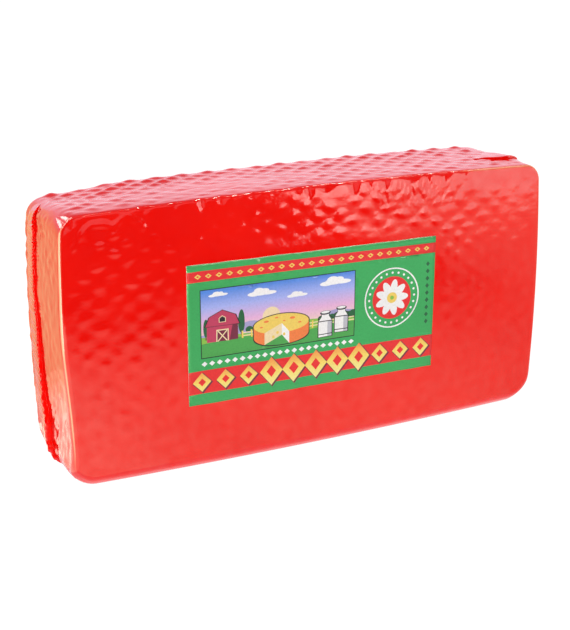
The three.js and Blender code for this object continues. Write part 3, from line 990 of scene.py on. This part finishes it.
def card(name, corners, material):
    """A flat piece of the stage that only glossy surfaces see."""
    data = bpy.data.meshes.new(name)
    data.from_pydata(corners, [], [(0, 1, 2, 3)])
    data.materials.append(material)
    piece = put_in_scene(name, data)
    show_card(piece, False)
    return piece


def show_card(piece, shown):
    for ray in ("camera", "diffuse", "shadow", "transmission"):
        setattr(piece, "visible_" + ray, shown)


def floor_card(name, x_range, y_range, z, material):
    return card(name, [(x, y, z) for x, y in rectangle(*x_range, *y_range)], material)


def wall_card(name, start, end, z_range, material):
    (x0, y0), (x1, y1) = start, end
    z0, z1 = z_range
    return card(name, [(x0, y0, z0), (x1, y1, z0), (x1, y1, z1), (x0, y0, z1)], material)


def lamp_card(name, direction, size, material):
    """A small bright card, square to the block."""
    towards = Vector(direction).normalized()
    turn = towards.to_track_quat("Z", "Y").to_matrix()
    half_u, half_v = size[0] / 2, size[1] / 2
    middle = MIDDLE + towards * LAMP_DISTANCE
    flat = rectangle(-half_u, half_u, -half_v, half_v)
    return card(name, [middle + turn @ Vector((u, v, 0)) for u, v in flat], material)


def area_light(name, place, size, power, colour):
    """A soft light on the block that leaves no reflection of its own."""
    data = bpy.data.lights.new(name, "AREA")
    data.shape = "SQUARE"
    data.size = size
    data.energy = power
    data.color = colour
    light = put_in_scene(name, data)
    turn = (Vector(LIT_PLACE) - Vector(place)).to_track_quat("-Z", "Y").to_matrix().to_4x4()
    light.matrix_world = Matrix.Translation(place) @ turn
    light.visible_glossy = False


# The tent's colours from the horizon upwards, behind the block and in front of it
TENT_BEHIND = [(0, (0.6, 0.54, 0.61)), (0.3, (0.62, 0.54, 0.62)), (0.6, (0.24, 0.21, 0.25))]
TENT_AHEAD = [(0, (0.14, 0.1, 0.1)), (0.4, (0.15, 0.12, 0.12)), (0.9, (0.34, 0.29, 0.29))]
TENT_TURN = (-0.35, 0.25)       # over which part of the way backwards the one becomes the other
TENT_STRENGTH = 2.1


def make_world():
    """A light tent: bright low down behind the block, dim in front and overhead."""
    world = bpy.data.worlds.new("tent")
    bpy.context.scene.world = world
    n = Nodes(world)
    up, backwards = n.place("Z", "Generated"), n.place("Y", "Generated")
    turned = n.spread(backwards, 0, 1, *TENT_TURN)
    background = n.tree.nodes["Background"]
    n.put(n.mix(turned, n.ramp(up, TENT_AHEAD), n.ramp(up, TENT_BEHIND)), background.inputs["Color"])
    n.put(TENT_STRENGTH, background.inputs["Strength"])


WARM = (1, 0.78, 0.4)
FLOOR_REACH, FRONT_FLOOR_Z, WARM_WALL_HEIGHT = 12, 0.001, 0.5
LAMP_DISTANCE = 1.1
LIT_PLACE = (0, 0, 0.07)
# Cards on the floor: their reach along X and Y, height, and glow
FLOOR_CARDS = {
    "warm_reflector": ((-1.3, -0.17), (-0.3, 1.2), 0.002, WARM, 1.2),
    "warm_rear": ((-0.17, 0), (0.04, 1.2), 0.002, (1, 0.62, 0.5), 1.05),
    "warm_reflector_1": ((-1.3, -0.16), (-0.3, 0.13), 0.003, (1, 0.8, 0.46), 1.5),
    "warm_reflector_2": ((-1.3, -0.16), (-0.3, 0.105), 0.004, (1, 0.82, 0.54), 1.9),
    "warm_reflector_3": ((-1.3, -0.16), (-0.3, 0.08), 0.005, (1, 0.84, 0.62), 2.3),
    "warm_reflector_4": ((-1.3, -0.147), (-0.3, 0.055), 0.006, (1, 0.87, 0.7), 2.8),
}
# Upright cards: where each begins and ends on the floor, the heights it spans, and its glow
WALL_CARDS = {
    "side_board": ((-0.3, 0.1), (-0.3, -0.12), (0, 0.2), (1, 0.8, 0.5), 6),
    "side_strip": ((-0.3, -0.12), (-0.3, -0.2), (0, 0.2), (1, 0.92, 0.75), 18),
    "fold_strip": ((-0.15, -0.49), (0.12, -0.49), (0.13, 0.36), (1, 0.8, 0.8), 1.1),
    "softbox_right": ((0.38, -0.62), (1, -0.52), (0, 0.32), (0.6, 0.95, 0.88), 3.4),
    "softbox_low": ((0.28, -0.645), (0.44, -0.614), (0, 0.14), (1, 0.95, 0.88), 6),
}
# Bright cards overhead: the direction and size of each, and its glow
LAMP_CARDS = {
    "lamp_left": ((-0.62, 0.2, 0.75), (0.75, 0.75), (1, 0.93, 0.82), 14),
    "lamp_corner": ((-0.5, 0.7, 0.51), (0.34, 0.26), (1, 0.95, 0.9), 9),
    "lamp_edge": ((0.41, -0.29, 0.83), (0.3, 0.12), (1, 0.93, 0.85), 60),
    "lamp_right": ((0.54, -0.2, 0.8), (0.5, 0.22), (1, 0.9, 0.75), 7),
    "lamp_front": ((0.1, -0.55, 0.83), (0.2, 0.1), (1, 0.85, 0.7), 16),
}
# Soft lights: place, size, power and colour
AREA_LIGHTS = {
    "key": ((-0.25, -1.1, 0.5), 0.7, 4.5, (1, 0.98, 0.95)),
    "top_fill": ((0, 0.2, 1.2), 0.8, 2.8, (1, 0.98, 0.95)),
    "fill_right": ((0.9, -0.7, 0.5), 0.5, 0.9, (1, 0.97, 0.92)),
    "fill_left": ((-0.95, -0.1, 0.4), 0.5, 0.4, (1, 0.97, 0.92)),
}


def front_floor_material():
    """What the block's front mirrors of the floor: bright close by, dark further off at the left,
    and brighter again at the right, under the softbox."""
    n = material_nodes("front_floor_glow")

    def fall(axis, start, end, low, high):
        return n.spread(n.place(axis), low, high, start, end, "SMOOTHSTEP")

    far_left = n.combine("MULTIPLY", fall("Y", -0.38, -0.12, 1, 0), fall("X", 0.23, 0.3, 1, 0))
    sideways = n.combine("MULTIPLY", fall("X", -0.12, -0.06, 1.9, 1.25), fall("X", 0.05, 0.25, 1, 0.62))
    lit = n.combine("MULTIPLY", sideways, n.combine("SUBTRACT", 1, far_left))
    pool = n.combine("MULTIPLY", fall("Y", -0.61, -0.41, 1.7, 0.2), fall("X", 0.28, 0.37, 0, 1))
    return matt_surface(n, BLACK, (1.0, 0.97, 0.8), n.combine("ADD", lit, pool))


def warm_wall_material():
    """What the left end's rounded top mirrors: warm low down, and pale like the tent above."""
    n = material_nodes("warm_wall_glow")
    stops = [(0.0, WARM), (0.5, (1.0, 0.76, 0.5)), (1.0, (1.0, 0.74, 0.8))]
    height = n.spread(n.place("Z"), 0, 1, 0, WARM_WALL_HEIGHT)
    return matt_surface(n, BLACK, n.ramp(height, stops), 1.3)


def glowing_cards(make, cards):
    for name, (*shape, colour, strength) in cards.items():
        make(name, *shape, matt_surface(material_nodes(name + "_glow"), BLACK, colour, strength))


def make_stage():
    make_world()
    paper = matt_surface(material_nodes("pale_paper"), (0.12, 0.12, 0.12), WHITE, 1)
    far = (-FLOOR_REACH, FLOOR_REACH)
    show_card(floor_card("floor", far, far, 0, paper), True)
    floor_card("front_floor", (-1.2, 1.2), (-0.9, -0.04), FRONT_FLOOR_Z, front_floor_material())
    dark = matt_surface(material_nodes("dark_flag"), (0.02, 0.02, 0.02), BLACK, 0)
    wall_card("flag", (-0.9, -0.5), (0.2, -0.5), (0.004, 0.55), dark)
    glowing_cards(floor_card, FLOOR_CARDS)
    wall_card("warm_wall", (-1.0, 1.0), (-0.25, 1.25), (0, WARM_WALL_HEIGHT), warm_wall_material())
    glowing_cards(wall_card, WALL_CARDS)
    glowing_cards(lamp_card, LAMP_CARDS)
    for name, light in AREA_LIGHTS.items():
        area_light(name, *light)
    bpy.context.scene.view_settings.view_transform = "Standard"


# ---- The pieces together ----

FILM = film_material()
make_stage()

skin = film_skin()
skin.data.materials.append(FILM)
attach(skin, "root")
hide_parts("cheese_block")

for which in LIP_SIDES:
    lip = seam_lip(which)
    lip.data.materials.append(FILM)
    # The lips carry no painted edge highlight
    put_attribute(lip, "stretch_and_highlight", np.zeros(len(lip.data.vertices)))
    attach(lip, "root")

label = label_sheet()
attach(label, "root")
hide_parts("label")
